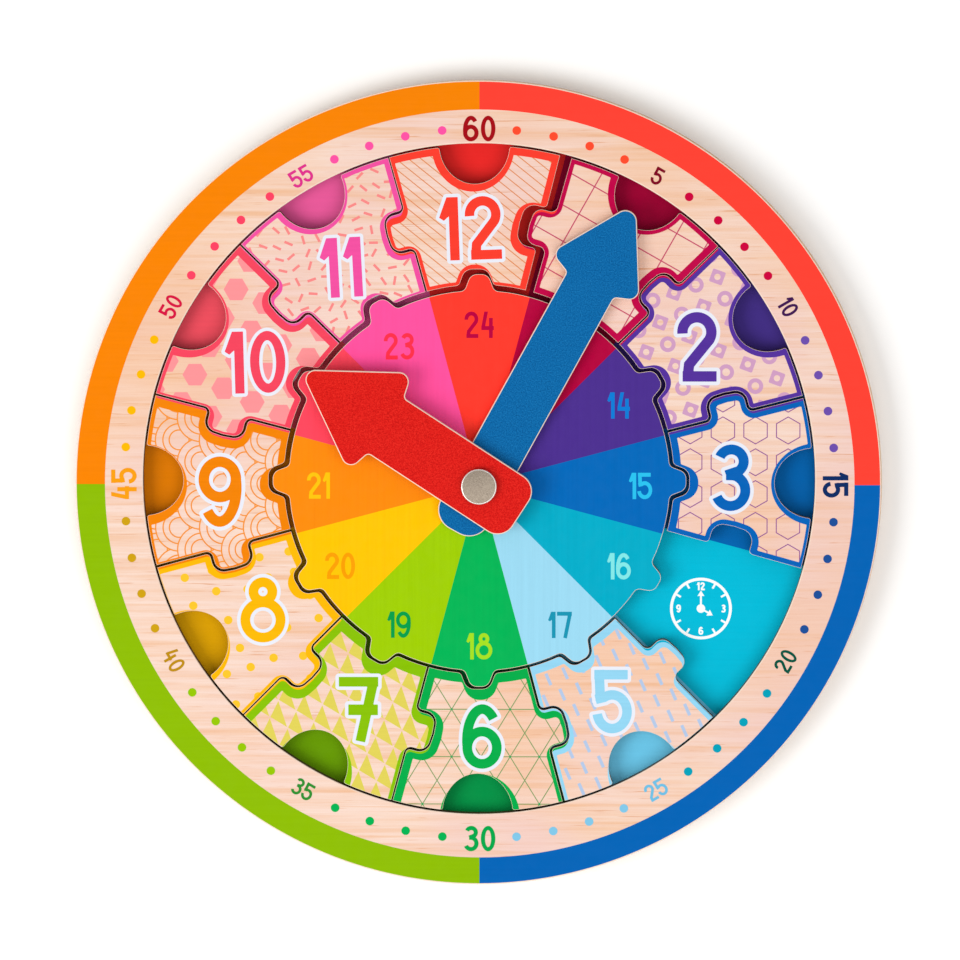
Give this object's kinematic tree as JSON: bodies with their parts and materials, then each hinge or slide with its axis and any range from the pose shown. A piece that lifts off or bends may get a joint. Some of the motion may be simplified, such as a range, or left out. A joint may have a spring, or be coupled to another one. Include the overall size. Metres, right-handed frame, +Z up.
{
  "type": "wooden teaching clock",
  "caption": "Round wooden teaching clock with a tray of lift-out hour pieces round a middle disc, a minute ring and two arrow hands on a centre pivot.",
  "frame": {"origin": "centre of the underside of the board, on the surface that it lies on", "axes": "+Z up out of the dial, +Y towards 12 o'clock, +X towards 3 o'clock"},
  "size_m": [0.281, 0.2806, 0.021],
  "materials": {
    "birch_ply": "lacquered birch plywood, thin pale and darker plies at the edge",
    "maple": "pale pinkish close-grained wood with a thin satin lacquer, printed band and numbers",
    "disc_print": "pale wood printed in twelve colour sectors, satin",
    "blue_paint": "finely speckled satin paint on thin wood, bare wood edge",
    "red_paint": "finely speckled satin paint on thin wood, bare wood edge",
    "nickel": "satin nickel plate",
    "nylon": "natural white nylon",
    "hour_01_print": "pale wood with a printed border, pattern and numeral in this colour, satin",
    "hour_02_print": "pale wood with a printed border, pattern and numeral in this colour, satin",
    "hour_03_print": "pale wood with a printed border, pattern and numeral in this colour, satin",
    "hour_05_print": "pale wood with a printed border, pattern and numeral in this colour, satin",
    "hour_06_print": "pale wood with a printed border, pattern and numeral in this colour, satin",
    "hour_07_print": "pale wood with a printed border, pattern and numeral in this colour, satin",
    "hour_08_print": "pale wood with a printed border, pattern and numeral in this colour, satin",
    "hour_09_print": "pale wood with a printed border, pattern and numeral in this colour, satin",
    "hour_10_print": "pale wood with a printed border, pattern and numeral in this colour, satin",
    "hour_11_print": "pale wood with a printed border, pattern and numeral in this colour, satin",
    "hour_12_print": "pale wood with a printed border, pattern and numeral in this colour, satin"
  },
  "bodies": {
    "tray": {"base_board": "birch_ply", "minute_ring": "maple", "hour_disc": "disc_print", "capped_barrel": "nickel", "rear_screw": "nickel", "rear_washer": "nickel", "lower_washer": "nylon", "middle_washer": "nylon", "spring_washer": "nickel"},
    "minute_hand": {"minute_hand": "blue_paint"},
    "hour_hand": {"hour_hand": "red_paint"},
    "piece_01": {"piece_01": "hour_01_print"},
    "piece_02": {"piece_02": "hour_02_print"},
    "piece_03": {"piece_03": "hour_03_print"},
    "piece_05": {"piece_05": "hour_05_print"},
    "piece_06": {"piece_06": "hour_06_print"},
    "piece_07": {"piece_07": "hour_07_print"},
    "piece_08": {"piece_08": "hour_08_print"},
    "piece_09": {"piece_09": "hour_09_print"},
    "piece_10": {"piece_10": "hour_10_print"},
    "piece_11": {"piece_11": "hour_11_print"},
    "piece_12": {"piece_12": "hour_12_print"}
  },
  "joints": [
    {"name": "minute_turn", "type": "hinge", "parent": "tray", "child": "minute_hand", "pos_m": [0.0003, -0.0004, 0.0133], "axis": [0, 0, 1], "continuous": true},
    {"name": "hour_turn", "type": "hinge", "parent": "tray", "child": "hour_hand", "pos_m": [0.0003, -0.0004, 0.0173], "axis": [0, 0, 1], "continuous": true},
    {"name": "piece_01_lift", "type": "slide", "parent": "tray", "child": "piece_01", "axis": [0, 0, 1], "range_m": [0, 0.0007]},
    {"name": "piece_02_lift", "type": "slide", "parent": "tray", "child": "piece_02", "axis": [0, 0, 1], "range_m": [0, 0.02]},
    {"name": "piece_03_lift", "type": "slide", "parent": "tray", "child": "piece_03", "axis": [0, 0, 1], "range_m": [0, 0.02]},
    {"name": "piece_05_lift", "type": "slide", "parent": "tray", "child": "piece_05", "axis": [0, 0, 1], "range_m": [0, 0.02]},
    {"name": "piece_06_lift", "type": "slide", "parent": "tray", "child": "piece_06", "axis": [0, 0, 1], "range_m": [0, 0.02]},
    {"name": "piece_07_lift", "type": "slide", "parent": "tray", "child": "piece_07", "axis": [0, 0, 1], "range_m": [0, 0.02]},
    {"name": "piece_08_lift", "type": "slide", "parent": "tray", "child": "piece_08", "axis": [0, 0, 1], "range_m": [0, 0.02]},
    {"name": "piece_09_lift", "type": "slide", "parent": "tray", "child": "piece_09", "axis": [0, 0, 1], "range_m": [0, 0.02]},
    {"name": "piece_10_lift", "type": "slide", "parent": "tray", "child": "piece_10", "axis": [0, 0, 1], "range_m": [0, 0.02]},
    {"name": "piece_11_lift", "type": "slide", "parent": "tray", "child": "piece_11", "axis": [0, 0, 1], "range_m": [0, 0.02]},
    {"name": "piece_12_lift", "type": "slide", "parent": "tray", "child": "piece_12", "axis": [0, 0, 1], "range_m": [0, 0.02]}
  ]
}
